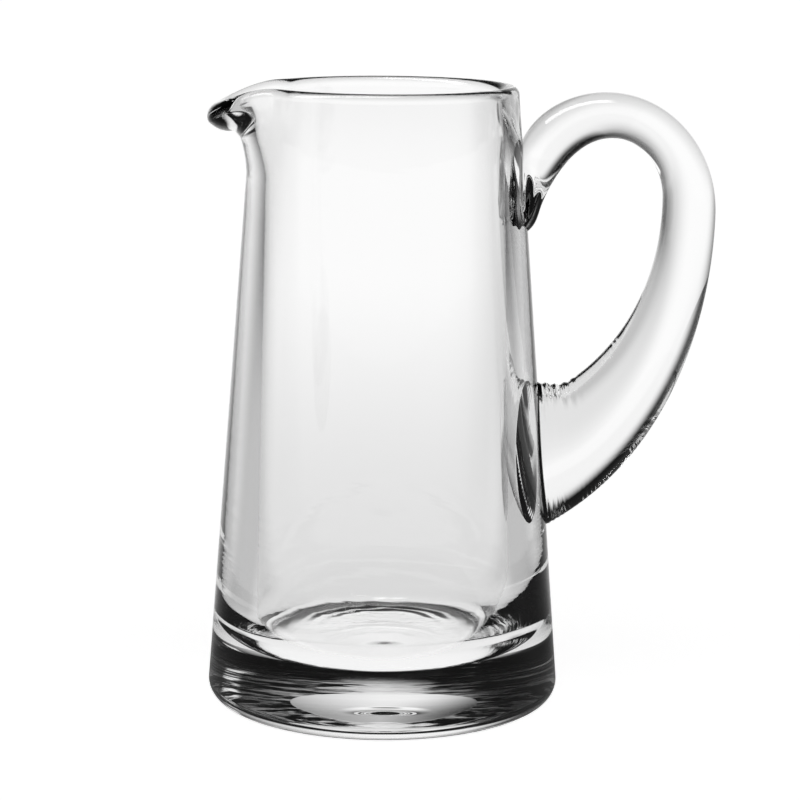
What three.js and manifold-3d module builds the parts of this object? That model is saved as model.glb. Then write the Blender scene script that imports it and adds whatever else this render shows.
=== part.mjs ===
// A mouth-blown clear glass jug in its two real pieces: the blown body, which tapers from a thick base to a
// fire-polished rim with a pulled pouring lip, and the solid loop handle that is drawn onto the body's wall.
// Millimetres, +Z up. The origin is the middle of the flat standing face.
// The handle is at +X and the lip at -X.
import * as THREE from "three";
import { mergeVertices } from "three/addons/utils/BufferGeometryUtils.js";
import Module from "manifold-3d";

// Body
const jugHeight = 140;
const footRadius = 40;
const rimRadius = 29.7;
const footEdgeRadius = 4.3;
const floorThickness = 12.4;
const rimWall = 4;
const rimRounding = 2.2;
const neckDepth = 28;
const neckBore = 27.1;
const heelBore = 29;
const cornerWidth = 8;
const cornerHeight = 20;

// Pouring lip: the middle of its wall leaves the body below the rim and passes a knee and a bend to the end.
// Each place is given by its reach beyond the middle of the rim's wall and its drop below the rim.
const lipDepth = 21;
const lipKneeReach = 2.3;
const lipKneeDrop = 12.8;
const lipBendReach = 6.9;
const lipBendDrop = 7.7;
const lipReach = 9.5;
const lipDrop = 6.5;
const lipThickening = 1;
const lipHalfAngle = THREE.MathUtils.degToRad(41);
const lipDipHalfAngle = THREE.MathUtils.degToRad(33);

// Shares of the lip's rise and half angle over which its wall turns square to its middle and thickens
const lipFoot = [0, 0.3];
const lipSide = [0.8, 1];
const lipSwell = [0.5, 0.95];

// Handle: heights of its nodes, how far they stand off the body's wall, and its sections there
const rootHeight = 51.5;
const rootSink = 5;
const rootRise = THREE.MathUtils.degToRad(38);
const rootRun = 27.5;
const rootThickness = 24;
const rootWidth = 16;
const padHeight = 57;
const padTall = 31.5;
const padDeep = 20;
const padWidth = 17;
const kneeDrop = 28.5;
const kneeStandOff = 35.9;
const kneeRun = 30;
const kneeThickness = 12.4;
const kneeWidth = 13.6;
const crownDrop = 6.4;
const crownStandOff = 20.4;
const crownThickness = 10;
const crownWidth = 12.2;
const crownRun = 9;
const jointDrop = 22.5;
const jointRun = 9;
const jointThickness = 12;
const jointWidth = 13;
const tailLength = 6;
const tailThickness = 4.4;
const tailWidth = 8;

// Clearance between the handle and the wall that carries it
const seatGap = 0.3;

// Glass
const bodyTint = 0xf1f4f3;
const handleTint = 0xf3f5f5;
const polish = 0.03;
const clearness = 0.35;

// Mesh density
const bodySegments = 72;
const arcSteps = 6;
const wallSteps = 4;
const lipSteps = 10;
const lipProbe = 0.002;
const handleSides = 22;
const handleSteps = 10;
const tailSteps = 3;
const padSides = 24;

// Arm of a cubic curve that turns a quarter circle, as a share of its radius
const quarterArm = 0.5523;

const { lerp, clamp, smoothstep } = THREE.MathUtils;

// Radius of the straight outer wall, which runs from the foot's edge to the rim.
function outerRadiusAt(height) {
  const rise = (height - footEdgeRadius) / (jugHeight - rimRounding - footEdgeRadius);
  return lerp(footRadius, rimRadius, rise);
}

// Radius of the bore, which is almost straight and closes in above the neck.
function innerRadiusAt(height) {
  const neckHeight = jugHeight - neckDepth;
  const slope = (neckBore - heelBore) / (neckHeight - floorThickness - cornerHeight);
  const rise = neckDepth - rimRounding;
  const closing = neckBore + slope * rise - (rimRadius - rimWall);
  const above = Math.max(height - neckHeight, 0) / rise;
  return neckBore + slope * (height - neckHeight) - closing * above ** 2;
}

function arc(centreX, centreY, radiusX, radiusY, from, to, steps) {
  const points = [];
  for (let i = 0; i <= steps; i++) {
    const angle = lerp(from, to, i / steps);
    points.push(new THREE.Vector2(centreX + radiusX * Math.cos(angle), centreY + radiusY * Math.sin(angle)));
  }
  return points;
}

// Points of a wall between two heights, without its two ends.
function wallPoints(radiusAt, from, to, steps) {
  const points = [];
  for (let i = 1; i < steps; i++) {
    const height = lerp(from, to, i / steps);
    points.push(new THREE.Vector2(radiusAt(height), height));
  }
  return points;
}

// Rows of the upper wall where the lip is pulled: up the outside, over the rim and down the inside. Each has
// its rise from the lip's foot to the rim, its side of the wall, 1 outside to -1 inside, and its rim height.
function upperRows() {
  const rows = [];
  for (let i = 0; i < lipSteps; i++) {
    rows.push({ risen: i / lipSteps, side: 1, ahead: 0 });
  }
  for (const { x, y } of arc(0, 0, 1, rimRounding, 0, Math.PI, arcSteps)) {
    rows.push({ risen: 1, side: x, ahead: y });
  }
  for (let i = lipSteps - 1; i >= 0; i--) {
    rows.push({ risen: i / lipSteps, side: -1, ahead: 0 });
  }
  return rows;
}

function upperHeight(risen) {
  return lerp(jugHeight - lipDepth, jugHeight - rimRounding, risen);
}

// Half section of the body in three stretches: the foot and outer wall, the upper wall, the bore and floor.
function bodyProfile() {
  const footCentre = footRadius - footEdgeRadius;
  const upperFoot = jugHeight - lipDepth;
  const cornerTop = floorThickness + cornerHeight;
  const cornerCentre = heelBore - cornerWidth;
  const down = -Math.PI / 2;
  const below = [
    new THREE.Vector2(0, 0),
    ...arc(footCentre, footEdgeRadius, footEdgeRadius, footEdgeRadius, down, 0, arcSteps),
    ...wallPoints(outerRadiusAt, footEdgeRadius, upperFoot, wallSteps),
  ];
  const upper = upperRows().map(({ risen, side, ahead }) => {
    const height = upperHeight(risen);
    const radius = lerp(innerRadiusAt(height), outerRadiusAt(height), (side + 1) / 2);
    return new THREE.Vector2(radius, height + ahead);
  });
  const inside = [
    ...wallPoints(innerRadiusAt, upperFoot, cornerTop, wallSteps),
    ...arc(cornerCentre, cornerTop, cornerWidth, cornerHeight, 0, down, arcSteps),
    new THREE.Vector2(0, floorThickness),
  ];
  return { below, upper, inside };
}

// Middle of the wall along the lip, where it reaches furthest.
function lipCurve() {
  const foot = jugHeight - lipDepth;
  const rimMiddle = rimRadius - rimWall / 2;
  return new THREE.SplineCurve([
    new THREE.Vector2((outerRadiusAt(foot) + innerRadiusAt(foot)) / 2, foot),
    new THREE.Vector2(rimMiddle + lipKneeReach, jugHeight - lipKneeDrop),
    new THREE.Vector2(rimMiddle + lipBendReach, jugHeight - lipBendDrop),
    new THREE.Vector2(rimMiddle + lipReach, jugHeight - lipDrop),
  ]);
}

// 1 at the lip's middle, falling softly to 0 at the half angle.
function spread(turn, halfAngle) {
  return (1 - Math.min(Math.abs(turn) / halfAngle, 1) ** 2) ** 3;
}

// A point half-way through the upper wall, at a turn from -X and a rise from the lip's foot to the rim.
function wallMiddle(curve, turn, risen) {
  const height = upperHeight(risen);
  const pulled = curve.getPointAt(clamp(risen, 0, 1));
  const plain = (outerRadiusAt(height) + innerRadiusAt(height)) / 2;
  const radius = lerp(plain, pulled.x, spread(turn, lipHalfAngle));
  const drawn = lerp(height, pulled.y, spread(turn, lipDipHalfAngle));
  return new THREE.Vector3(-radius * Math.cos(turn), radius * Math.sin(turn), drawn);
}

// A point of the upper wall's skin, square to the wall's middle where the lip is pulled.
function lipPoint(curve, turn, { risen, side, ahead }) {
  const height = upperHeight(risen);
  const swell = lipThickening * smoothstep(risen, ...lipSwell) * spread(turn, lipHalfAngle);
  const halfWall = (outerRadiusAt(height) - innerRadiusAt(height)) / 2 + swell;
  const round = wallMiddle(curve, turn - lipProbe, risen).sub(wallMiddle(curve, turn + lipProbe, risen));
  const above = wallMiddle(curve, turn, Math.min(risen + lipProbe, 1));
  const upwards = above.sub(wallMiddle(curve, turn, Math.max(risen - lipProbe, 0))).normalize();
  const square = round.cross(upwards).normalize();
  const share = smoothstep(risen, ...lipFoot) * (1 - smoothstep(Math.abs(turn) / lipHalfAngle, ...lipSide));
  const outwards = new THREE.Vector3(-Math.cos(turn), Math.sin(turn), 0).lerp(square, share);
  const along = new THREE.Vector3(0, 0, 1).lerp(upwards, share);
  const middle = wallMiddle(curve, turn, risen);
  return middle.addScaledVector(outwards, side * halfWall).addScaledVector(along, ahead);
}

function lathe(profile) {
  return new THREE.LatheGeometry(profile, bodySegments).rotateX(Math.PI / 2);
}

function bodyGeometry() {
  const { below, upper, inside } = bodyProfile();
  const profile = [...below, ...upper, ...inside];
  const rows = upperRows();
  const curve = lipCurve();
  const geometry = lathe(profile);
  const position = geometry.getAttribute("position");
  for (let i = 0; i < position.count; i++) {
    const row = rows[(i % profile.length) - below.length];
    const turn = Math.atan2(position.getY(i), -position.getX(i));
    if (!row || Math.abs(turn) >= lipHalfAngle) continue;
    const point = lipPoint(curve, turn, row);
    position.setXYZ(i, point.x, point.y, point.z);
  }
  geometry.computeVertexNormals();
  return geometry;
}

// A point of the handle's middle line, given by its height and its distance off the body's wall.
function offWall(standOff, height) {
  return new THREE.Vector3(outerRadiusAt(height) + standOff, 0, height);
}

// A curve that leaves its start along one arm and comes into its end along another.
function bend(start, leave, arrive, end) {
  return new THREE.CubicBezierCurve3(start, start.clone().add(leave), end.clone().sub(arrive), end);
}

// The handle's middle line as curves between its nodes, each with the section at its two ends.
function handleCurves() {
  const root = offWall(-rootSink, rootHeight);
  const knee = offWall(kneeStandOff, jugHeight - kneeDrop);
  const crown = offWall(crownStandOff, jugHeight - crownDrop);
  const joint = offWall(0, jugHeight - jointDrop);
  const tail = offWall(0, jugHeight - jointDrop - tailLength);
  const upWall = joint.clone().sub(tail).normalize();
  const fromRoot = new THREE.Vector3(Math.cos(rootRise), 0, Math.sin(rootRise)).multiplyScalar(rootRun);
  const intoKnee = new THREE.Vector3(0, 0, kneeRun);
  const fromKnee = new THREE.Vector3(0, 0, quarterArm * (crown.z - knee.z));
  const overCrown = new THREE.Vector3(-crownRun, 0, 0);
  const intoJoint = upWall.multiplyScalar(-jointRun);
  const rootSection = { thickness: rootThickness, width: rootWidth };
  const kneeSection = { thickness: kneeThickness, width: kneeWidth };
  const crownSection = { thickness: crownThickness, width: crownWidth };
  const jointSection = { thickness: jointThickness, width: jointWidth };
  const tailSection = { thickness: tailThickness, width: tailWidth };
  return [
    { curve: bend(root, fromRoot, intoKnee, knee), from: rootSection, to: kneeSection },
    { curve: bend(knee, fromKnee, overCrown, crown), from: kneeSection, to: crownSection },
    { curve: bend(crown, overCrown, intoJoint, joint), from: crownSection, to: jointSection },
    { curve: new THREE.LineCurve3(joint, tail), from: jointSection, to: tailSection },
  ];
}

// One oval ring of the handle across its middle line.
function ring(centre, tangent, thickness, width) {
  const across = new THREE.Vector3(0, 1, 0).cross(tangent).normalize();
  const points = [];
  for (let i = 0; i < handleSides; i++) {
    const angle = (2 * Math.PI * i) / handleSides;
    const point = centre.clone().addScaledVector(across, (thickness / 2) * Math.cos(angle));
    point.y += (width / 2) * Math.sin(angle);
    points.push(point);
  }
  return points;
}

// Rings along the whole handle, ending in a rounded tail.
function handleRings() {
  const rings = [];
  const curves = handleCurves();
  curves.forEach(({ curve, from, to }, index) => {
    for (let i = index === 0 ? 0 : 1; i <= handleSteps; i++) {
      const part = i / handleSteps;
      const ease = smoothstep(part, 0, 1);
      const thickness = lerp(from.thickness, to.thickness, ease);
      const width = lerp(from.width, to.width, ease);
      rings.push(ring(curve.getPoint(part), curve.getTangent(part), thickness, width));
    }
  });
  const last = curves[curves.length - 1].curve;
  const end = last.getPoint(1);
  const down = last.getTangent(1);
  for (let i = 1; i <= tailSteps; i++) {
    const angle = (Math.PI / 2) * (i / (tailSteps + 1));
    const centre = end.clone().addScaledVector(down, (tailThickness / 2) * Math.sin(angle));
    rings.push(ring(centre, down, tailThickness * Math.cos(angle), tailWidth * Math.cos(angle)));
  }
  return rings;
}

// A closed skin over rings of equal count, with a fan over each end.
function loft(rings) {
  const sides = rings[0].length;
  const points = rings.flat();
  const middle = (list) => list.reduce((sum, p) => sum.add(p), new THREE.Vector3()).divideScalar(list.length);
  const first = points.length;
  points.push(middle(rings[0]), middle(rings[rings.length - 1]));
  const index = [];
  for (let i = 0; i < sides; i++) {
    const next = (i + 1) % sides;
    const lastRing = (rings.length - 1) * sides;
    index.push(first, next, i, first + 1, lastRing + i, lastRing + next);
    for (let j = 0; j < rings.length - 1; j++) {
      const low = j * sides;
      const high = low + sides;
      index.push(low + i, high + next, high + i, low + i, low + next, high + next);
    }
  }
  return new THREE.BufferGeometry().setFromPoints(points).setIndex(index);
}

// The pad of glass that was pressed onto the wall before the handle was drawn out of it.
function padGeometry() {
  const centre = offWall(0, padHeight);
  return new THREE.SphereGeometry(1, padSides, padSides / 2)
    .rotateX(Math.PI / 2)
    .scale(padDeep / 2, padWidth / 2, padTall / 2)
    .translate(centre.x, centre.y, centre.z);
}

// The outer wall's cone, grown by the seat gap and run on past the foot and the rim.
function wallCutter() {
  const low = -jugHeight;
  const high = 2 * jugHeight;
  const radiusAt = (height) => Math.max(outerRadiusAt(height) + seatGap, seatGap);
  return lathe([
    new THREE.Vector2(0, low),
    new THREE.Vector2(radiusAt(low), low),
    new THREE.Vector2(radiusAt(high), high),
    new THREE.Vector2(0, high),
  ]);
}

const wasm = await Module();
wasm.setup();

function toSolid(geometry) {
  const bare = new THREE.BufferGeometry().setIndex(geometry.index);
  bare.setAttribute("position", geometry.getAttribute("position"));
  const merged = mergeVertices(bare);
  return new wasm.Manifold(
    new wasm.Mesh({
      numProp: 3,
      vertProperties: merged.getAttribute("position").array,
      triVerts: new Uint32Array(merged.index.array),
    }),
  );
}

function toGeometry(solid) {
  const mesh = solid.getMesh();
  const geometry = new THREE.BufferGeometry();
  geometry.setAttribute("position", new THREE.BufferAttribute(mesh.vertProperties, mesh.numProp));
  geometry.setIndex(new THREE.BufferAttribute(mesh.triVerts, 1));
  geometry.computeVertexNormals();
  return geometry;
}

function handleGeometry() {
  const drawn = toSolid(loft(handleRings())).add(toSolid(padGeometry()));
  return toGeometry(drawn.subtract(toSolid(wallCutter())));
}

function glass(color) {
  const look = { color, roughness: polish, metalness: 0, transparent: true, opacity: clearness };
  return new THREE.MeshStandardMaterial(look);
}

function named(name, geometry, material) {
  const mesh = new THREE.Mesh(geometry, material);
  mesh.name = name;
  return mesh;
}

const jug = new THREE.Group();
jug.add(named("body", bodyGeometry(), glass(bodyTint)));
jug.add(named("handle", handleGeometry(), glass(handleTint)));

export default jug;
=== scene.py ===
"""A clear mouth-blown glass jug with a pulled lip and an applied loop handle, dressed for its portrait."""
import math

import bpy
import numpy as np
from mathutils import Matrix, Vector
from mathutils.geometry import delaunay_2d_cdt


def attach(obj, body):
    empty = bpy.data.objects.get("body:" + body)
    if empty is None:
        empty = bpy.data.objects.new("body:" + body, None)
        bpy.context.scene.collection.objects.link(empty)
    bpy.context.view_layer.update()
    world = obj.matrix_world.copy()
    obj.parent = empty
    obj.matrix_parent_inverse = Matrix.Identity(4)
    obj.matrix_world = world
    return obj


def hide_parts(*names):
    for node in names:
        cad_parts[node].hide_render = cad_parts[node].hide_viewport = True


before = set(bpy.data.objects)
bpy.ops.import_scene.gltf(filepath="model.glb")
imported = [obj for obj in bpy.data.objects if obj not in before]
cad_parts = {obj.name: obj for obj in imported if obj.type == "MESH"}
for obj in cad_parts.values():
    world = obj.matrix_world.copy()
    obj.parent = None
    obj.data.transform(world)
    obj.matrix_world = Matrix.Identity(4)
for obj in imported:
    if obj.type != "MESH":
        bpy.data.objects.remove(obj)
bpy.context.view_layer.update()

# Sizes of the body in millimetres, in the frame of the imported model
MM = 0.001
JUG_HEIGHT = 140.0
FOOT_RADIUS = 40.0
RIM_RADIUS = 29.7
FOOT_EDGE = 4.3
FLOOR = 12.4
RIM_WALL = 4.0
RIM_ROUNDING = 2.2
NECK_HEIGHT = 112.0
NECK_BORE = 27.1
HEEL_BORE = 29.0
CORNER_WIDTH = 8.0
CORNER_HEIGHT = 20.0
LEFT_CORNER_HEIGHT = 10.0
LEFT_CORNER_COSINES = (-0.9, -0.3)
LIP_LOW = 119.0
LIP_HALF_ANGLE = math.radians(41)
LIP_DIP_HALF_ANGLE = math.radians(33)
LIP_THICKENING = 1.0
LIP_THICKENING_RISE = (0.5, 0.95)
LIP_BLEND_RISE = (0.0, 0.3)
LIP_SECTOR = math.radians(50)
LIP_SECTOR_EDGE = math.radians(9)
RING_INNER = 10.0
RINGS = 3.0
RING_HEIGHT = 0.22
RING_BACK_SINES = (-0.1, 0.6)
RECESS_PLACE = (0.3, -2.5)
RECESS_RADIUS = 14.6
RECESS_DEPTH = 0.4
PUNTY_PLACE = (0.6, -8.0)
PUNTY_RADII = (8.0, 4.8)
PUNTY_DEPTH = 0.4
DINT_HEIGHT = 134.2
DINT_TURN = math.radians(5)
DINT_RADII = (2.6, 2.4)
DINT_DEPTH = 1.0

# Middle of the wall where the pouring lip reaches furthest: Bezier curves upwards from LIP_LOW
LIP_KNEE, LIP_BEND, LIP_END = (30.0, 127.2), (34.6, 132.3), (37.2, 133.5)
LIP_CURVES = [
    [(28.98, LIP_LOW), (28.83, 121.5), (29.3, 124.8), LIP_KNEE],
    [LIP_KNEE, (30.6, 130.2), (32.4, 132.1), LIP_BEND],
    [LIP_BEND, (35.6, 132.4), (36.4, 132.8), LIP_END],
]

# Outlines of the handle: Bezier spans from its root in the lower wall, past knee and crown, to its tail
ARM = 0.5523


def quarter(start, end, rising):
    """Quarter of an ellipse from start to end, leaving upright if rising, or level if not."""
    (x0, z0), (x1, z1) = start, end
    if rising:
        return [start, (x0, z0 + ARM * (z1 - z0)), (x1 + ARM * (x0 - x1), z1), end]
    return [start, (x0 + ARM * (x1 - x0), z0), (x1, z1 + ARM * (z0 - z1)), end]


KNEE_OUT, KNEE_IN = (73.9, 112.0), (62.0, 115.0)
CROWN_OUT, CROWN_IN = (49.2, 138.7), (50.6, 128.5)
OUTER_SPANS = [
    [[(33.4, 38.1), (35.1, 39.0), (36.9, 40.0), (38.6, 41.0)],
     [(38.6, 41.0), (68.6, 59.0), (73.9, 95.0), KNEE_OUT]],
    [quarter(KNEE_OUT, CROWN_OUT, True)],
    [quarter(CROWN_OUT, (29.2, 122.3), False),
     [(29.2, 122.3), (29.2, 118.0), (28.6, 113.0), (27.6, 110.0)]],
]
INNER_SPANS = [
    [[(30.5, 73.4), (32.5, 73.2), (35.0, 73.0), (37.0, 72.8)],
     [(37.0, 72.8), (39.6, 72.4), (41.0, 72.6), (43.5, 74.6)],
     [(43.5, 74.6), (60.0, 87.5), (62.0, 106.0), KNEE_IN]],
    [quarter(KNEE_IN, CROWN_IN, True)],
    [[CROWN_IN, (42.0, 128.5), (37.0, 118.6), (34.9, 113.4)],
     [(34.9, 113.4), (33.8, 110.6), (33.6, 107.6), (28.6, 106.6)]],
]
HANDLE_WIDTHS = [16.4, 13.4, 12.2, 11.0]
HANDLE_MIDDLE = 0.5
FLARES = (0.4, 2.5)
FLARE_REACHES = (0.25, 1.5)

# Marks of the tools on the handle, with their places and lengths as parts of its length
MARK_FOCUS = 6
FOLD_PARTS = (0.012, 0.03, 0.06, 0.085)
FOLD_PERIOD = 0.0115
FOLD_DEPTH = 0.2
RIDGE_PARTS = (0.012, 0.02, 0.026, 0.04)
RIDGE_PERIOD = 0.0048
RIDGE_DEPTH = 0.07
LOBE_PARTS = (0.86, 0.94)
LOBES = 9
LOBE_DEPTH = 0.28
PINCER_MARKS = [(0.118, -0.3), (0.077, -0.35), (0.058, -0.4)]
PINCER_LENGTH = 0.008
PINCER_TURN = 0.3
PINCER_PERIOD = 0.005
PINCER_DEPTH = 0.06

# Mesh density, steps and starts of searches, and the meshes' material slots
TURNS = 240
WALL_ROWS = 60
LIP_ROWS = 40
LIP_COLUMNS = 151
ARC_ROWS = 12
HANDLE_SIDES = 72
HANDLE_ROWS = (240, 220, 90)
HANDLE_ROW_EDGES = (0.0, 0.13, 0.86, 1.0)
SPAN_STEPS = 60
AXIS_GAP = 0.4
SLOPE_STEP = 1e-3
JOINT_SEARCH = ((0.0, 0.2), (1.0, 0.75))
SEARCH_STEPS = 40
LEAST_RISE = 1e-12
GLASS, SEAM, GROUND = range(3)

# Part of the outer wall that is remeshed around the handle's two joints
WINDOW_HALF_TURN = math.radians(27)
WINDOW_LOW = 32.0
WINDOW_HIGH = 134.0
SEAM_CLEARANCE = 0.35
SEAM_MATCH = 1e-3
SAME_POINT = 1e-6


def smoothstep(value, low, high):
    part = np.clip((value - low) / (high - low), 0.0, 1.0)
    return part * part * (3.0 - 2.0 * part)


def lerp(a, b, part):
    return a + (b - a) * part


def outer_radius(z):
    """The outer wall tapers straight from the foot's edge to the rim."""
    return lerp(FOOT_RADIUS, RIM_RADIUS, (z - FOOT_EDGE) / (JUG_HEIGHT - RIM_ROUNDING - FOOT_EDGE))


def inner_radius(z):
    """The bore is almost straight, and closes in above the neck."""
    heel = FLOOR + CORNER_HEIGHT
    slope = (NECK_BORE - HEEL_BORE) / (NECK_HEIGHT - heel)
    above = np.maximum(z - NECK_HEIGHT, 0)
    rise = JUG_HEIGHT - RIM_ROUNDING - NECK_HEIGHT
    closing = NECK_BORE + slope * rise - (RIM_RADIUS - RIM_WALL)
    return NECK_BORE + slope * (z - NECK_HEIGHT) - closing * (above / rise) ** 2


def arc(centre, radii, start, end, rows):
    """Points on part of an ellipse."""
    angle = np.linspace(start, end, rows)
    return np.stack([centre[0] + radii[0] * np.cos(angle), centre[1] + radii[1] * np.sin(angle)], 1)


def bezier(points):
    a, b, c, d = (np.array(p, float) for p in points)
    t = np.linspace(0, 1, SPAN_STEPS)[:, None]
    return a * (1 - t) ** 3 + 3 * b * t * (1 - t) ** 2 + 3 * c * t * t * (1 - t) + d * t ** 3


def along(spans, parts):
    """Points of an outline at parts from 0 to 1, with an equal share of the parts to each span."""
    place = np.clip(parts, 0, 1) * len(spans)
    points = np.zeros(place.shape + (2,))
    for number, span in enumerate(spans):
        chain = np.concatenate([bezier(curve) for curve in span])
        run = np.concatenate([[0], np.cumsum(np.linalg.norm(np.diff(chain, axis=0), axis=1))])
        here = np.clip(place - number, 0, 1) * run[-1]
        pick = (place >= number) if number else (place >= 0)
        for axis in (0, 1):
            points[..., axis] = np.where(pick, np.interp(here, run, chain[:, axis]), points[..., axis])
    return points


def underside_height(x, y):
    """A shallow hollow polished into the underside, with the mark of the punty a little off its middle."""
    off = np.hypot(x - RECESS_PLACE[0], y - RECESS_PLACE[1])
    hollow = RECESS_DEPTH * np.maximum(1 - (off / RECESS_RADIUS) ** 2, 0)
    away = np.hypot((x - PUNTY_PLACE[0]) / PUNTY_RADII[0], (y - PUNTY_PLACE[1]) / PUNTY_RADII[1])
    return hollow + PUNTY_DEPTH * np.cos(math.pi / 2 * np.minimum(away, 1)) ** 2


def floor_rings(radius, edge):
    """Rings that the blown gather left round the cavity's floor."""
    part = np.clip((radius - RING_INNER) / (edge - RING_INNER), 0, 1)
    return RING_HEIGHT * np.sin(math.pi * part) ** 2 * np.cos(2 * math.pi * RINGS * part)


def body_profile():
    """Half section from the underside's middle, up the outside, over the rim and down to the floor's middle.

    Also gives the number of the first row and of the last row that the pouring lip takes up.
    """
    rim_base = JUG_HEIGHT - RIM_ROUNDING
    corner_top = FLOOR + CORNER_HEIGHT
    corner_centre = HEEL_BORE - CORNER_WIDTH
    foot_centre = FOOT_RADIUS - FOOT_EDGE
    low = np.linspace(FOOT_EDGE, LIP_LOW, WALL_ROWS + 1)[1:-1]
    high = np.linspace(LIP_LOW, rim_base, LIP_ROWS + 1)[:-1]
    deep = np.linspace(LIP_LOW, corner_top, WALL_ROWS + 1)[1:-1]
    recess = np.linspace(AXIS_GAP, RECESS_RADIUS, 3 * ARC_ROWS)
    ring = np.linspace(RECESS_RADIUS, foot_centre, ARC_ROWS)[1:-1]
    underside = np.concatenate([recess, ring])
    floor = np.concatenate([np.linspace(corner_centre, RING_INNER, 4 * ARC_ROWS)[1:],
                            np.linspace(RING_INNER, AXIS_GAP, ARC_ROWS)[1:]])
    below = [
        np.stack([underside, np.zeros_like(underside)], 1),
        arc((foot_centre, FOOT_EDGE), (FOOT_EDGE, FOOT_EDGE), -math.pi / 2, 0, ARC_ROWS),
        np.stack([outer_radius(low), low], 1),
    ]
    lip = [
        np.stack([outer_radius(high), high], 1),
        arc((RIM_RADIUS - RIM_WALL / 2, rim_base), (RIM_WALL / 2, RIM_ROUNDING), 0, math.pi, 2 * ARC_ROWS),
        np.stack([inner_radius(high), high], 1)[::-1],
    ]
    bore = [
        np.stack([inner_radius(deep), deep], 1),
        arc((corner_centre, corner_top), (CORNER_WIDTH, CORNER_HEIGHT), 0, -math.pi / 2, 2 * ARC_ROWS),
        np.stack([floor, np.full_like(floor, FLOOR)], 1),
    ]
    first = sum(len(piece) for piece in below)
    last = first + sum(len(piece) for piece in lip)
    return np.concatenate(below + lip + bore), first, last


def spread(turn, half_angle):
    """1 at the lip's middle, falling softly to 0 at the half angle."""
    return (1 - np.minimum(np.abs(turn - math.pi) / half_angle, 1) ** 2) ** 3


def wall_middle(turn, risen):
    """Points half-way through the wall, risen from 0 at the lip's foot to 1 at the rim, drawn out at -X."""
    height = lerp(LIP_LOW, JUG_HEIGHT - RIM_ROUNDING, risen)
    radius = (outer_radius(height) + inner_radius(height)) / 2
    pulled = along([LIP_CURVES], risen)
    radius = lerp(radius, pulled[..., 0], spread(turn, LIP_HALF_ANGLE))
    height = lerp(height, pulled[..., 1], spread(turn, LIP_DIP_HALF_ANGLE))
    return np.stack([np.cos(turn) * radius, np.sin(turn) * radius, height], -1)


def pull_lip(turn):
    """Rows of the lip for each column: up the outside, over the rim and down the inside."""
    step = SLOPE_STEP
    up = np.arange(LIP_ROWS) / LIP_ROWS
    crest = np.linspace(0, math.pi, 2 * ARC_ROWS)
    side = np.concatenate([np.ones(LIP_ROWS), np.cos(crest), -np.ones(LIP_ROWS)])
    ahead = np.concatenate([np.zeros(LIP_ROWS), RIM_ROUNDING * np.sin(crest), np.zeros(LIP_ROWS)])
    turn, risen = np.meshgrid(turn, np.concatenate([up, np.ones(len(crest)), up[::-1]]), indexing="ij")
    height = lerp(LIP_LOW, JUG_HEIGHT - RIM_ROUNDING, risen)
    wall = (outer_radius(height) - inner_radius(height)) / 2
    wall += LIP_THICKENING * smoothstep(risen, *LIP_THICKENING_RISE) * spread(turn, LIP_HALF_ANGLE)
    round_wall = wall_middle(turn + step, risen) - wall_middle(turn - step, risen)
    up_wall = wall_middle(turn, np.minimum(risen + step, 1)) - wall_middle(turn, np.maximum(risen - step, 0))
    square = np.cross(round_wall, up_wall)
    square /= np.linalg.norm(square, axis=-1, keepdims=True)
    up_wall /= np.linalg.norm(up_wall, axis=-1, keepdims=True)
    level = np.stack([np.cos(turn), np.sin(turn), np.zeros_like(turn)], -1)
    share = smoothstep(risen, *LIP_BLEND_RISE)
    share = share * smoothstep(LIP_SECTOR - np.abs(turn - math.pi), 0, LIP_SECTOR_EDGE)
    square = lerp(level, square, share[..., None])
    up_wall = lerp(np.array([0.0, 0.0, 1.0]), up_wall, share[..., None])
    return wall_middle(turn, risen) + (side * wall)[..., None] * square + ahead[:, None] * up_wall


def columns_round():
    """Angles of the mesh's columns, closer together at the lip."""
    coarse = np.linspace(0, 2 * math.pi, TURNS, endpoint=False)
    fine = math.pi + np.linspace(-1, 1, LIP_COLUMNS) * LIP_SECTOR
    return np.sort(np.concatenate([coarse[np.abs(coarse - math.pi) > LIP_SECTOR + math.pi / TURNS], fine]))


def settle_corner(grid, turn, first):
    """The corner above the cavity's floor is lower on the left, because the gather settled unevenly."""
    share = smoothstep(np.cos(turn), *LEFT_CORNER_COSINES)[:, None]
    height = lerp(LEFT_CORNER_HEIGHT, CORNER_HEIGHT, share)
    z = grid[:, first:, 2]
    top = FLOOR + CORNER_HEIGHT
    above = LIP_LOW - (LIP_LOW - z) * (LIP_LOW - FLOOR - height) / (LIP_LOW - top)
    within = FLOOR + (z - FLOOR) * height / CORNER_HEIGHT
    moved = np.where(z > top, above, within)
    radius = np.hypot(grid[:, first:, 0], grid[:, first:, 1])
    rise = np.clip((z - FLOOR) / CORNER_HEIGHT, 0, 1)
    wider = np.where(z > top, inner_radius(moved), radius + rise * (inner_radius(FLOOR + height) - HEEL_BORE))
    grid[:, first:, :2] *= (wider / radius)[..., None]
    grid[:, first:, 2] = moved


def press_wall(wall, turn):
    """A shallow dint in the outside of the wall, above the place where the handle's end was pressed on."""
    around = (turn - DINT_TURN + math.pi) % (2 * math.pi) - math.pi
    radius = np.hypot(wall[..., 0], wall[..., 1])
    off = np.hypot(around[:, None] * RIM_RADIUS / DINT_RADII[0], (wall[..., 2] - DINT_HEIGHT) / DINT_RADII[1])
    wall[..., :2] *= (1 - DINT_DEPTH * np.exp(-off ** 2) / radius)[..., None]


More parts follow.
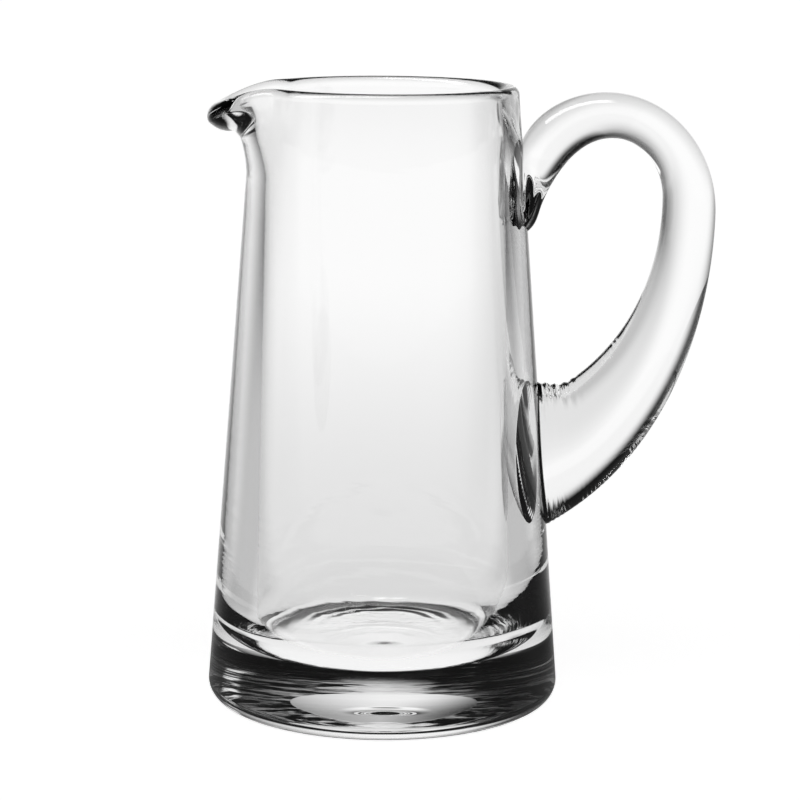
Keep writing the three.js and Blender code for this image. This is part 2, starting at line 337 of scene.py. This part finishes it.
def body_grid():
    """Columns of points round the body: the plain section, with its lip, dint, floor rings and underside."""
    plain, first, last = body_profile()
    turn = columns_round()
    grid = np.stack([np.outer(np.cos(turn), plain[:, 0]), np.outer(np.sin(turn), plain[:, 0]),
                     np.broadcast_to(plain[:, 1], (len(turn), len(plain)))], -1)
    at_lip = np.abs(turn - math.pi) <= LIP_SECTOR
    grid[at_lip, first:last] = pull_lip(turn[at_lip])
    settle_corner(grid, turn, last)
    press_wall(grid[:, first:first + LIP_ROWS], turn)
    floor = np.flatnonzero(plain[:, 1] == FLOOR)
    back = smoothstep(np.sin(turn), *RING_BACK_SINES)
    grid[:, floor, 2] += np.outer(back, floor_rings(plain[floor, 0], HEEL_BORE - CORNER_WIDTH))
    below = np.flatnonzero(plain[:first, 1] == 0)
    fade = 1 - smoothstep(plain[below, 0], RECESS_RADIUS, plain[below, 0].max())
    grid[:, below, :2] += fade[:, None] * np.array(RECESS_PLACE)
    grid[:, below, 2] = underside_height(grid[:, below, 0], grid[:, below, 1])
    return plain, grid


def tool_marks(parts, turns):
    """Height of the marks on the handle's skin; its outer side is at turn 0, its front at -90 degrees.

    Folds lie above its lower joint, ridges on its heel, lobes at its tail, and ripples where pincers held it.
    """
    inner = (0.5 - 0.5 * np.cos(turns)) ** MARK_FOCUS
    outer = (0.5 + 0.5 * np.cos(turns)) ** MARK_FOCUS
    fold = smoothstep(parts, *FOLD_PARTS[:2]) * (1 - smoothstep(parts, *FOLD_PARTS[2:]))
    ridge = smoothstep(parts, *RIDGE_PARTS[:2]) * (1 - smoothstep(parts, *RIDGE_PARTS[2:]))
    marks = FOLD_DEPTH * fold * inner * np.cos(2 * math.pi * parts / FOLD_PERIOD)
    marks += RIDGE_DEPTH * ridge * outer * np.cos(2 * math.pi * parts / RIDGE_PERIOD)
    marks += LOBE_DEPTH * smoothstep(parts, *LOBE_PARTS) * np.cos(LOBES * turns)
    around = (turns + math.pi) % (2 * math.pi) - math.pi
    for part, turn in PINCER_MARKS:
        off = ((parts - part) / PINCER_LENGTH) ** 2 + ((around - turn) / PINCER_TURN) ** 2
        marks += PINCER_DEPTH * np.exp(-off) * np.cos(2 * math.pi * (parts - part) / PINCER_PERIOD)
    return marks


def handle_points(parts, turns):
    """Skin of the handle, which flares at the wall: parts run along it, turns round its oval section."""
    outer = along(OUTER_SPANS, parts)
    inner = along(INNER_SPANS, parts)
    stations = np.linspace(0, 1, len(HANDLE_WIDTHS))
    width = np.interp(parts, stations, HANDLE_WIDTHS)
    middle = (outer + inner) / 2
    half = (outer - inner) / 2
    marks = tool_marks(parts, turns)
    grown = 1 + marks / np.linalg.norm(half, axis=-1)
    x = middle[..., 0] + half[..., 0] * grown * np.cos(turns)
    z = middle[..., 1] + half[..., 1] * grown * np.cos(turns)
    y = (width / 2 + marks) * np.sin(turns)
    clear = np.maximum(np.hypot(x, y) - outer_radius(z), 0)
    low = parts < HANDLE_MIDDLE
    flare = np.where(low, *FLARES) * np.exp(-clear / np.where(low, *FLARE_REACHES))
    return np.stack([x, y + flare * np.sin(turns), z], -1)


def off_wall(points):
    """Distance from the outer wall, below 0 inside it."""
    return np.hypot(points[..., 0], points[..., 1]) - outer_radius(points[..., 2])


def handle_ends(turns):
    """For each turn, the parts where the handle's skin leaves the lower wall and meets the upper wall."""
    ends = []
    for sunk, clear in JOINT_SEARCH:
        low, high = np.full_like(turns, sunk), np.full_like(turns, clear)
        for _ in range(SEARCH_STEPS):
            middle = (low + high) / 2
            inside_wall = off_wall(handle_points(middle, turns)) < 0
            low, high = np.where(inside_wall, middle, low), np.where(inside_wall, high, middle)
        ends.append((low + high) / 2)
    return ends


def handle_grid():
    """Rows of points along the handle, from its lower joint to its upper joint."""
    turns = np.linspace(0, 2 * math.pi, HANDLE_SIDES, endpoint=False)
    start, end = handle_ends(turns)
    stretches = zip(HANDLE_ROW_EDGES, HANDLE_ROW_EDGES[1:], HANDLE_ROWS)
    rows = [np.linspace(low, high, count, endpoint=False) for low, high, count in stretches]
    rows = np.concatenate(rows + [[1.0]])
    parts = lerp(start[None], end[None], rows[:, None])
    return handle_points(parts, np.broadcast_to(turns, parts.shape))


def inside(loop, points):
    """Which points lie inside a closed loop in the plane."""
    a, b = loop, np.roll(loop, -1, 0)
    x, y = points[:, 0, None], points[:, 1, None]
    crosses = (a[:, 1] > y) != (b[:, 1] > y)
    rise = np.where(b[:, 1] == a[:, 1], LEAST_RISE, b[:, 1] - a[:, 1])
    hit = x < (b[:, 0] - a[:, 0]) * (y - a[:, 1]) / rise + a[:, 0]
    return (crosses & hit).sum(1) % 2 == 1


def unroll(points):
    """Points of the outer wall laid flat: their turn as a length at the rim, and their height."""
    return np.stack([np.arctan2(points[:, 1], points[:, 0]) * RIM_RADIUS, points[:, 2]], 1)


def roll_up(flat):
    """Flat points put back on the outer wall."""
    turn, z = flat[:, 0] / RIM_RADIUS, flat[:, 1]
    radius = outer_radius(z)
    return np.stack([radius * np.cos(turn), radius * np.sin(turn), z], 1)


def body_mesh(loops):
    """Vertices, faces and slots of the body, and the wall patches inside the handle's loops."""
    profile, grid = body_grid()
    turns, rows = grid.shape[:2]
    crest = int(np.argmax(profile[:, 1]))
    outside_wall = [j for j in range(crest) if WINDOW_LOW < profile[j, 1] < WINDOW_HIGH]
    j0, j1 = outside_wall[0], outside_wall[-1]
    half = int(WINDOW_HALF_TURN / (2 * math.pi) * TURNS)
    window = {c % turns for c in range(-half, half)}
    vertices = list(grid.reshape(-1, 3))
    faces, slots = [], []
    for i in range(turns):
        for j in range(rows - 1):
            if i in window and j0 <= j < j1:
                continue
            k = (i + 1) % turns
            faces.append((i * rows + j, k * rows + j, k * rows + j + 1, i * rows + j + 1))
            ground = j < crest and profile[j + 1, 1] == 0 and profile[j, 0] >= RECESS_RADIUS
            slots.append(GROUND if ground else GLASS)
    for j, turned in ((0, True), (rows - 1, False)):
        centre = len(vertices)
        vertices.append(grid[:, j].mean(0))
        for i in range(turns):
            a, b = i * rows + j, ((i + 1) % turns) * rows + j
            faces.append((a, centre, b) if turned else (a, b, centre))
            slots.append(GLASS)
    known = [(c % turns) * rows + j for c in range(-half, half + 1) for j in range(j0, j1 + 1)]
    flat_known = unroll(np.array([grid.reshape(-1, 3)[k] for k in known]))
    flat_loops = [unroll(loop) for loop in loops]
    keep = np.ones(len(known), bool)
    for loop in flat_loops:
        gap = np.min(np.linalg.norm(flat_known[:, None] - loop[None], axis=2), 1)
        keep &= gap > SEAM_CLEARANCE
    known = [k for k, good in zip(known, keep) if good]
    flat_known = flat_known[keep]
    flat = [tuple(p) for p in flat_known]
    edges = []
    for loop in flat_loops:
        first = len(flat)
        flat += [tuple(p) for p in loop]
        edges += [(first + i, first + (i + 1) % len(loop)) for i in range(len(loop))]
    out, _, tris, origin, _, _ = delaunay_2d_cdt([Vector(p) for p in flat], edges, [], 0, SAME_POINT)
    out = np.array([tuple(p) for p in out])
    placed = roll_up(out)
    to_body = []
    for k, source in enumerate(origin):
        old = [s for s in source if s < len(known)]
        if old:
            to_body.append(known[old[0]])
        else:
            to_body.append(len(vertices))
            vertices.append(placed[k])
    tris = np.array(tris)
    centres = out[tris].mean(1)
    seam = np.zeros(len(tris), bool)
    patches = []
    for loop in flat_loops:
        within = inside(loop, centres)
        seam |= within
        patches.append((placed, tris[within]))
    for t, joined in zip(tris, seam):
        faces.append(tuple(to_body[k] for k in t))
        slots.append(SEAM if joined else GLASS)
    return np.array(vertices), faces, slots, patches


def handle_mesh(grid, patches):
    """Vertices, faces, slots and sharp edges of the handle, closed by the wall's patches."""
    rows, sides = grid.shape[:2]
    vertices = list(grid.reshape(-1, 3))
    faces, slots, sharp = [], [], set()
    for j in range(rows - 1):
        for i in range(sides):
            k = (i + 1) % sides
            faces.append((j * sides + i, j * sides + k, (j + 1) * sides + k, (j + 1) * sides + i))
            slots.append(GLASS)
    for row, (placed, tris) in zip((0, rows - 1), patches):
        ring = grid[row]
        index = {}
        for t in tris:
            face = []
            for k in t[::-1]:
                if k not in index:
                    gap = np.linalg.norm(ring - placed[k], axis=1)
                    near = int(np.argmin(gap))
                    if gap[near] < SEAM_MATCH:
                        index[k] = row * sides + near
                    else:
                        index[k] = len(vertices)
                        vertices.append(placed[k])
                face.append(index[k])
            faces.append(tuple(face))
            slots.append(SEAM)
        sharp |= {tuple(sorted((row * sides + i, row * sides + (i + 1) % sides))) for i in range(sides)}
    return np.array(vertices), faces, slots, sharp


def add_object(name, vertices, faces, slots, materials, sharp=()):
    """A smooth mesh of vertices in millimetres, with some edges left sharp."""
    mesh = bpy.data.meshes.new(name)
    mesh.from_pydata([tuple(v) for v in vertices * MM], [], faces)
    for material in materials:
        mesh.materials.append(material)
    mesh.polygons.foreach_set("material_index", slots)
    mesh.polygons.foreach_set("use_smooth", [True] * len(faces))
    for edge in mesh.edges:
        if tuple(sorted(edge.vertices)) in sharp:
            edge.use_edge_sharp = True
    mesh.validate()
    mesh.update()
    obj = bpy.data.objects.new(name, mesh)
    bpy.context.scene.collection.objects.link(obj)
    return obj


# Materials, with places and depths in metres and cords per metre
WHITE = (1, 1, 1, 1)
GLASS_IOR = 1.5
BODY_CORDS = (14.0, 14.0, 320.0)
BODY_CORD_SLANT = 0.14
HANDLE_CORDS = (70.0, 160.0, 70.0)
CORD_BAND = (0.016, 0.022, 0.032, 0.055)
CORD_DETAIL = 2.0
CORD_DEPTH = 0.000008
LOW_CORDS = 4.0
FIRE_POLISH_NOISE = (0.35, 0.65)
FIRE_POLISH = (0.0, 0.012)
RIM_POLISH_EDGE = (0.1368, 0.1388)
RIM_POLISH = 0.14
GRINDING = (110.0, 420.0)
GRINDING_DETAIL = 3.0
GRINDING_ROUGHNESS = 0.65
GRINDING_STRENGTH = 0.5
GRINDING_DEPTH = 0.0002
GROUND_POLISH_NOISE = (0.4, 0.6)
GROUND_POLISH = (0.02, 0.1)
# A polished strip along the foot ring's middle, where the painted shade is thinner and the clear glass shows
CLEAR_STRIP = (0.001, 0.007)
CLEAR_STRIP_GAIN = 0.25
# Painted shade: the near-black colour of the foot ring's rough shader stands for the table in shadow under the
# ring; the noise, shares and facing give where it covers the clear glass
DULL_SHADE_COLOUR = (0.02, 0.02, 0.02, 1)
DULL_ROUGHNESS = 0.7
DULL_SHADE_NOISE = (0.46, 0.6)
DULL_SHADE_SHARES = (1.0, 0.1)
DULL_SHADE_FACING = (0.22, 0.36)


def new_material(name):
    material = bpy.data.materials.new(name)
    material.use_nodes = True
    nodes = material.node_tree.nodes
    nodes.clear()
    return material, nodes, material.node_tree.links


def math_node(nodes, links, operation, a, b=None, c=None):
    """The result of one operation on numbers or sockets."""
    node = nodes.new("ShaderNodeMath")
    node.operation = operation
    for socket, value in zip(node.inputs, (a, b, c)):
        if value is None:
            continue
        if isinstance(value, (int, float)):
            socket.default_value = value
        else:
            links.new(value, socket)
    return node.outputs[0]


def ramp(nodes, links, value, low, high, start, end):
    """A soft step from start to end, between low and high."""
    node = nodes.new("ShaderNodeMapRange")
    node.interpolation_type = "SMOOTHSTEP"
    links.new(value, node.inputs["Value"])
    for name, number in zip(("From Min", "From Max", "To Min", "To Max"), (low, high, start, end)):
        node.inputs[name].default_value = number
    return node.outputs["Result"]


def band(nodes, links, value, edges, level=1.0):
    """The level between the two inner edges, falling softly to 0 at the two outer edges."""
    rising = ramp(nodes, links, value, *edges[:2], 0.0, level)
    return math_node(nodes, links, "MULTIPLY", rising, ramp(nodes, links, value, *edges[2:], 1.0, 0.0))


def blend_value(nodes, links, a, b, share):
    """From a to b by a share from 0 to 1."""
    change = math_node(nodes, links, "SUBTRACT", b, a)
    return math_node(nodes, links, "MULTIPLY_ADD", change, share, a)


def ground_glass_and_shade(name):
    """The foot's ring, ground flat: steep light goes through, and at a glance the rest is painted shade, a
    near-black for the shadowed table under the ring, streaked by the grinding.
    """
    material, nodes, links = new_material(name)
    output = nodes.new("ShaderNodeOutputMaterial")
    clear = nodes.new("ShaderNodeBsdfPrincipled")
    clear.inputs["Base Color"].default_value = WHITE
    clear.inputs["IOR"].default_value = GLASS_IOR
    clear.inputs["Transmission Weight"].default_value = 1.0
    # Painted shade: a rough near-black shader for the shadowed table under the ring
    dull_shade = nodes.new("ShaderNodeBsdfPrincipled")
    dull_shade.inputs["Base Color"].default_value = DULL_SHADE_COLOUR
    dull_shade.inputs["Roughness"].default_value = DULL_ROUGHNESS
    dull_shade.inputs["Specular IOR Level"].default_value = 0.0
    place = nodes.new("ShaderNodeTexCoord")
    split = nodes.new("ShaderNodeSeparateXYZ")
    links.new(place.outputs["Object"], split.inputs[0])
    x, y, _ = split.outputs
    grinding = nodes.new("ShaderNodeCombineXYZ")
    for socket, value, number in zip(grinding.inputs, (x, y), GRINDING):
        links.new(math_node(nodes, links, "MULTIPLY", value, number), socket)
    streaks = nodes.new("ShaderNodeTexNoise")
    streaks.inputs["Scale"].default_value = 1.0
    streaks.inputs["Detail"].default_value = GRINDING_DETAIL
    streaks.inputs["Roughness"].default_value = GRINDING_ROUGHNESS
    links.new(grinding.outputs[0], streaks.inputs["Vector"])
    side = math_node(nodes, links, "ABSOLUTE", x)
    # Polished strip: thinner painted shade
    polished = ramp(nodes, links, side, *CLEAR_STRIP, CLEAR_STRIP_GAIN, 0.0)
    grain = math_node(nodes, links, "ADD", streaks.outputs["Fac"], polished)
    # Share of painted shade, high where the grinding's streak noise is low and lower on the polished strip
    matte_shade = ramp(nodes, links, grain, *DULL_SHADE_NOISE, *DULL_SHADE_SHARES)
    glance = nodes.new("ShaderNodeLayerWeight")
    glance.inputs["Blend"].default_value = 0.5
    grazing = ramp(nodes, links, glance.outputs["Facing"], *DULL_SHADE_FACING, 0.0, 1.0)
    polish = ramp(nodes, links, streaks.outputs["Fac"], *GROUND_POLISH_NOISE, *GROUND_POLISH)
    links.new(polish, clear.inputs["Roughness"])
    bump = nodes.new("ShaderNodeBump")
    bump.inputs["Strength"].default_value = GRINDING_STRENGTH
    bump.inputs["Distance"].default_value = GRINDING_DEPTH
    links.new(streaks.outputs["Fac"], bump.inputs["Height"])
    links.new(bump.outputs[0], clear.inputs["Normal"])
    # The painted shade covers the clear glass where light meets the ring at a glance
    mix = nodes.new("ShaderNodeMixShader")
    links.new(math_node(nodes, links, "MULTIPLY", matte_shade, grazing), mix.inputs[0])
    links.new(clear.outputs[0], mix.inputs[1])
    links.new(dull_shade.outputs[0], mix.inputs[2])
    links.new(mix.outputs[0], output.inputs["Surface"])
    return material


def glass(name, cords, slant, low_cords, rim_polish):
    """Clear glass with a fire polish that varies a little, and faint cords that are stronger low on the wall.

    cords gives the cords' number per metre along each axis, and slant how far they climb per metre to +X.
    """
    material, nodes, links = new_material(name)
    output = nodes.new("ShaderNodeOutputMaterial")
    shader = nodes.new("ShaderNodeBsdfPrincipled")
    shader.inputs["Base Color"].default_value = WHITE
    shader.inputs["IOR"].default_value = GLASS_IOR
    shader.inputs["Transmission Weight"].default_value = 1.0
    place = nodes.new("ShaderNodeTexCoord")
    split = nodes.new("ShaderNodeSeparateXYZ")
    links.new(place.outputs["Object"], split.inputs[0])
    x, y, z = split.outputs
    climbed = math_node(nodes, links, "MULTIPLY_ADD", x, slant, z)
    swirl = nodes.new("ShaderNodeCombineXYZ")
    for socket, value, number in zip(swirl.inputs, (x, y, climbed), cords):
        links.new(math_node(nodes, links, "MULTIPLY", value, number), socket)
    noise = nodes.new("ShaderNodeTexNoise")
    noise.inputs["Scale"].default_value = 1.0
    noise.inputs["Detail"].default_value = CORD_DETAIL
    links.new(swirl.outputs[0], noise.inputs["Vector"])
    depth = math_node(nodes, links, "ADD", band(nodes, links, z, CORD_BAND, low_cords), 1.0)
    bump = nodes.new("ShaderNodeBump")
    bump.inputs["Strength"].default_value = 1.0
    bump.inputs["Distance"].default_value = CORD_DEPTH
    links.new(math_node(nodes, links, "MULTIPLY", noise.outputs["Fac"], depth), bump.inputs["Height"])
    links.new(bump.outputs[0], shader.inputs["Normal"])
    polish = ramp(nodes, links, noise.outputs["Fac"], *FIRE_POLISH_NOISE, *FIRE_POLISH)
    rim = ramp(nodes, links, z, *RIM_POLISH_EDGE, 0.0, rim_polish)
    links.new(math_node(nodes, links, "ADD", polish, rim), shader.inputs["Roughness"])
    links.new(shader.outputs[0], output.inputs["Surface"])
    return material


def seam_material():
    """The face where body and handle are fused, which light passes as if it weren't there."""
    material, nodes, links = new_material("fused_seam")
    output = nodes.new("ShaderNodeOutputMaterial")
    shader = nodes.new("ShaderNodeBsdfTransparent")
    links.new(shader.outputs[0], output.inputs["Surface"])
    return material


# Light of the studio: turns go from the back towards +X, floor places are in metres, the lamp's are directions
SWEEP_LEVEL = 1.0
SWEEP_FALL = (0.75, 1.7)
SWEEP_FALL_LEVEL = 0.95
SWEEP_LEFT = (math.radians(20), math.radians(68))
SWEEP_LEFT_ABOVE = (math.radians(18), math.radians(46))
SWEEP_RIGHT = (math.radians(5), math.radians(64))
SWEEP_TILT = 1.1
FLAG_LEVEL = 0.02
ROOM_EDGE = (math.radians(84), math.radians(115))
ROOM_LEVEL = 0.35
ROOM_DIM_EDGE = (math.radians(2), math.radians(18))
ROOM_DIM = 0.06
LAMP_EDGE = (0.10, 0.20)
LAMP_LENGTH = (-0.92, -0.75, 0.00, 0.15)
LAMP_RISE = (0.1, 0.3)
LAMP_LEVEL = 6.0
PANEL_SIDES = tuple(math.radians(a) for a in (42, 46, 54, 58))
PANEL_HEIGHTS = tuple(math.radians(a) for a in (7, 10, 31, 36))
PANEL_LEVEL = 1.0
# Painted light and shade on the floor, shown only to light through the glass and to mirrored light:
# FLOOR_UNDER is a painted pool of light under the jug, FLOOR_SHADE a painted shadow ring behind it, FLOOR_DUSK
# painted shade in sectors beside it and FLOOR_NEAR grey near it
FLOOR_NEAR = 0.78
FLOOR_UNDER = 0.98
FLOOR_UNDER_EDGE = (0.030, 0.050)
FLOOR_SHADE = 0.03
FLOOR_SHADE_START = (0.000, 0.012)
FLOOR_SHADE_RING = (0.021, 0.027, 0.037, 0.041)
FLOOR_DUSK = 0.3
FLOOR_DUSK_START = (0.050, 0.090)
FLOOR_DUSK_SECTOR = tuple(math.radians(a) for a in (30, 50, 68, 85))
FLOOR_FAR_EDGE = (0.08, 0.5)
FLOOR_SIDE_REACH = 0.18
FLOOR_SIDE_EDGE = (math.radians(66), math.radians(85))
FLOOR_SIDE_LEVEL = 0.75
FLOOR_MIRRORED = 0.2
FLOOR_COLOUR = (0.9, 0.9, 0.9, 1)
FLOOR_GLOW = 0.86


def sweep_share(nodes, links, turn, height=None):
    """Share of the sweep's glow at a turn from the back towards the right, and at a height in radians."""
    left = math_node(nodes, links, "MULTIPLY", turn, -1.0)
    left_edge = SWEEP_LEFT
    right = turn
    if height is not None:
        left_edge = SWEEP_LEFT_ABOVE
        risen = math_node(nodes, links, "MAXIMUM", height, 0.0)
        rise = math_node(nodes, links, "MULTIPLY", risen, SWEEP_TILT)
        left = math_node(nodes, links, "ADD", math_node(nodes, links, "MAXIMUM", left, 0.0), rise)
        right = math_node(nodes, links, "ADD", math_node(nodes, links, "MAXIMUM", right, 0.0), rise)
    return math_node(nodes, links, "MULTIPLY", ramp(nodes, links, left, *left_edge, 1.0, 0.0),
                     ramp(nodes, links, right, *SWEEP_RIGHT, 1.0, 0.0))


def floor_material():
    """White to the camera, with the jug's shadow; to the glass, painted light and shade, grey near the jug and
    lit like the sweep.
    """
    material, nodes, links = new_material("pale_floor")
    output = nodes.new("ShaderNodeOutputMaterial")
    path = nodes.new("ShaderNodeLightPath")
    place = nodes.new("ShaderNodeTexCoord")
    split = nodes.new("ShaderNodeSeparateXYZ")
    links.new(place.outputs["Object"], split.inputs[0])
    x, y, _ = split.outputs
    squares = math_node(nodes, links, "ADD", math_node(nodes, links, "MULTIPLY", x, x),
                        math_node(nodes, links, "MULTIPLY", y, y))
    reach = math_node(nodes, links, "SQRT", squares)
    # Painted pool of light under the jug, grey farther out
    painted_pool_floor = ramp(nodes, links, reach, *FLOOR_UNDER_EDGE, FLOOR_UNDER, FLOOR_NEAR)
    # Painted shadow in a ring behind the jug
    behind = ramp(nodes, links, y, *FLOOR_SHADE_START, 0.0, 1.0)
    shade = math_node(nodes, links, "MULTIPLY", behind, band(nodes, links, reach, FLOOR_SHADE_RING))
    turn = math_node(nodes, links, "ARCTAN2", x, y)
    side = math_node(nodes, links, "ABSOLUTE", turn)
    # Painted shade in sectors to both sides of the back
    sector = band(nodes, links, side, FLOOR_DUSK_SECTOR, FLOOR_DUSK)
    dusk = math_node(nodes, links, "MULTIPLY", sector, ramp(nodes, links, reach, *FLOOR_DUSK_START, 0.0, 1.0))
    dusky = blend_value(nodes, links, painted_pool_floor, 0.0, dusk)
    near = blend_value(nodes, links, dusky, FLOOR_SHADE, shade)
    sweep = sweep_share(nodes, links, turn)
    beside = ramp(nodes, links, side, *FLOOR_SIDE_EDGE, FLAG_LEVEL, FLOOR_SIDE_LEVEL)
    fall = ramp(nodes, links, reach, *SWEEP_FALL, SWEEP_LEVEL, SWEEP_LEVEL * SWEEP_FALL_LEVEL)
    far = math_node(nodes, links, "MULTIPLY_ADD", sweep, fall, beside)
    off_sweep = math_node(nodes, links, "SUBTRACT", 1.0, sweep)
    shift = math_node(nodes, links, "MULTIPLY", off_sweep, FLOOR_SIDE_REACH)
    share = ramp(nodes, links, math_node(nodes, links, "SUBTRACT", reach, shift), *FLOOR_FAR_EDGE, 0.0, 1.0)
    mirror = math_node(nodes, links, "SUBTRACT", path.outputs["Is Glossy Ray"],
                       path.outputs["Is Transmission Ray"])
    front = math_node(nodes, links, "MULTIPLY", mirror, off_sweep)
    mirrored = math_node(nodes, links, "MULTIPLY_ADD", front, FLOOR_MIRRORED - 1.0, 1.0)
    level = blend_value(nodes, links, near, far, share)
    # Painted glow of the floor, shown to light through the glass and to mirrored light
    painted_floor_glow = nodes.new("ShaderNodeEmission")
    links.new(math_node(nodes, links, "MULTIPLY", level, mirrored), painted_floor_glow.inputs["Strength"])
    diffuse = nodes.new("ShaderNodeBsdfDiffuse")
    diffuse.inputs["Color"].default_value = FLOOR_COLOUR
    glow = nodes.new("ShaderNodeEmission")
    glow.inputs["Strength"].default_value = FLOOR_GLOW
    shown = nodes.new("ShaderNodeAddShader")
    links.new(diffuse.outputs[0], shown.inputs[0])
    links.new(glow.outputs[0], shown.inputs[1])
    mix = nodes.new("ShaderNodeMixShader")
    links.new(path.outputs["Is Camera Ray"], mix.inputs[0])
    links.new(painted_floor_glow.outputs[0], mix.inputs[1])
    links.new(shown.outputs[0], mix.inputs[2])
    links.new(mix.outputs[0], output.inputs["Surface"])
    return material


def make_world():
    """White to the camera; in the glass, a bright sweep behind the jug, dark flags beside it and a dim room.

    Light through the glass finds the upper room darker, with a white panel at the right. Mirrored light finds
    a long lamp overhead.
    """
    world = bpy.data.worlds.new("studio")
    bpy.context.scene.world = world
    world.use_nodes = True
    nodes, links = world.node_tree.nodes, world.node_tree.links
    nodes.clear()
    output = nodes.new("ShaderNodeOutputWorld")
    background = nodes.new("ShaderNodeBackground")
    background.inputs["Color"].default_value = WHITE
    place = nodes.new("ShaderNodeTexCoord")
    split = nodes.new("ShaderNodeSeparateXYZ")
    links.new(place.outputs["Generated"], split.inputs[0])
    x, y, z = split.outputs
    height = math_node(nodes, links, "ARCSINE", z)
    turn = math_node(nodes, links, "ARCTAN2", x, y)
    path = nodes.new("ShaderNodeLightPath")
    sweep = sweep_share(nodes, links, turn, height)
    side = math_node(nodes, links, "ABSOLUTE", turn)
    room = ramp(nodes, links, side, *ROOM_EDGE, FLAG_LEVEL, ROOM_LEVEL)
    dim = ramp(nodes, links, height, *ROOM_DIM_EDGE, 1.0, ROOM_DIM)
    dimmed = math_node(nodes, links, "MULTIPLY", room, dim)
    panel_side = band(nodes, links, turn, PANEL_SIDES, PANEL_LEVEL)
    panel_rise = band(nodes, links, height, PANEL_HEIGHTS)
    passed = math_node(nodes, links, "MULTIPLY_ADD", panel_side, panel_rise, dimmed)
    across = ramp(nodes, links, math_node(nodes, links, "ABSOLUTE", y), *LAMP_EDGE, LAMP_LEVEL, 0.0)
    above = math_node(nodes, links, "MULTIPLY", across, ramp(nodes, links, z, *LAMP_RISE, 0.0, 1.0))
    lamp = math_node(nodes, links, "MULTIPLY", above, band(nodes, links, x, LAMP_LENGTH))
    mirrored = math_node(nodes, links, "MULTIPLY_ADD", lamp, path.outputs["Is Glossy Ray"], room)
    room = blend_value(nodes, links, mirrored, passed, path.outputs["Is Transmission Ray"])
    level = math_node(nodes, links, "MULTIPLY_ADD", sweep, SWEEP_LEVEL * SWEEP_FALL_LEVEL, room)
    strength = math_node(nodes, links, "MAXIMUM", level, path.outputs["Is Camera Ray"])
    links.new(strength, background.inputs["Strength"])
    links.new(background.outputs[0], output.inputs["Surface"])


# Stage, camera and render settings
SENSOR_WIDTH = 36
PHOTO_PIXELS = 800
FOCAL_PIXELS = 2769
CAMERA_FOCAL = FOCAL_PIXELS / PHOTO_PIXELS * SENSOR_WIDTH
CAMERA_CLIP_END = 100
CAMERA_PLACE = (3.61, -616.9, 186.0)
CAMERA_PITCH = math.radians(10.76)
CAMERA_ROLL = math.radians(-0.43)
FLOOR_HALF_SIZE = 4.0
FLOOR_LEVEL = -0.0003
LIGHT_BOUNCES = 32


def add_camera():
    camera = bpy.data.cameras.new("camera")
    camera.lens = CAMERA_FOCAL
    camera.sensor_width = SENSOR_WIDTH
    camera.clip_end = CAMERA_CLIP_END
    obj = bpy.data.objects.new("camera", camera)
    bpy.context.scene.collection.objects.link(obj)
    ahead = Vector((0, math.cos(CAMERA_PITCH), -math.sin(CAMERA_PITCH)))
    right0, up0 = Vector((1, 0, 0)), Vector((0, math.sin(CAMERA_PITCH), math.cos(CAMERA_PITCH)))
    c, s = math.cos(CAMERA_ROLL), math.sin(CAMERA_ROLL)
    right, up = right0 * c - up0 * s, right0 * s + up0 * c
    axes = Matrix((right, up, -ahead)).transposed().to_4x4()
    axes.translation = Vector(CAMERA_PLACE) * MM
    obj.matrix_world = axes
    bpy.context.scene.camera = obj


def add_floor():
    size, level = FLOOR_HALF_SIZE, FLOOR_LEVEL
    corners = [(-size, -size, level), (size, -size, level), (size, size, level), (-size, size, level)]
    floor = add_object("floor", np.array(corners) / MM, [(0, 1, 2, 3)], [0], [floor_material()])


add_camera()
make_world()
add_floor()
seam = seam_material()
grid = handle_grid()
vertices, faces, slots, patches = body_mesh([grid[0], grid[-1]])
body_glass = glass("body_glass", BODY_CORDS, BODY_CORD_SLANT, LOW_CORDS, RIM_POLISH)
# The foot ring's material carries painted shade
body = add_object("jug_body", vertices, faces, slots, [body_glass, seam, ground_glass_and_shade("ground_foot_and_shade")])
vertices, faces, slots, sharp = handle_mesh(grid, patches)
handle_glass = glass("handle_glass", HANDLE_CORDS, slant=0.0, low_cords=0.0, rim_polish=0.0)
handle = add_object("jug_handle", vertices, faces, slots, [handle_glass, seam], sharp)
for piece, node, slot in ((body, "body", "body_glass"), (handle, "handle", "handle_glass")):
    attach(piece, "root")
    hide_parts(node)

scene = bpy.context.scene
scene.view_settings.view_transform = "Standard"
scene.cycles.max_bounces = LIGHT_BOUNCES
scene.cycles.transmission_bounces = LIGHT_BOUNCES
scene.cycles.transparent_max_bounces = LIGHT_BOUNCES
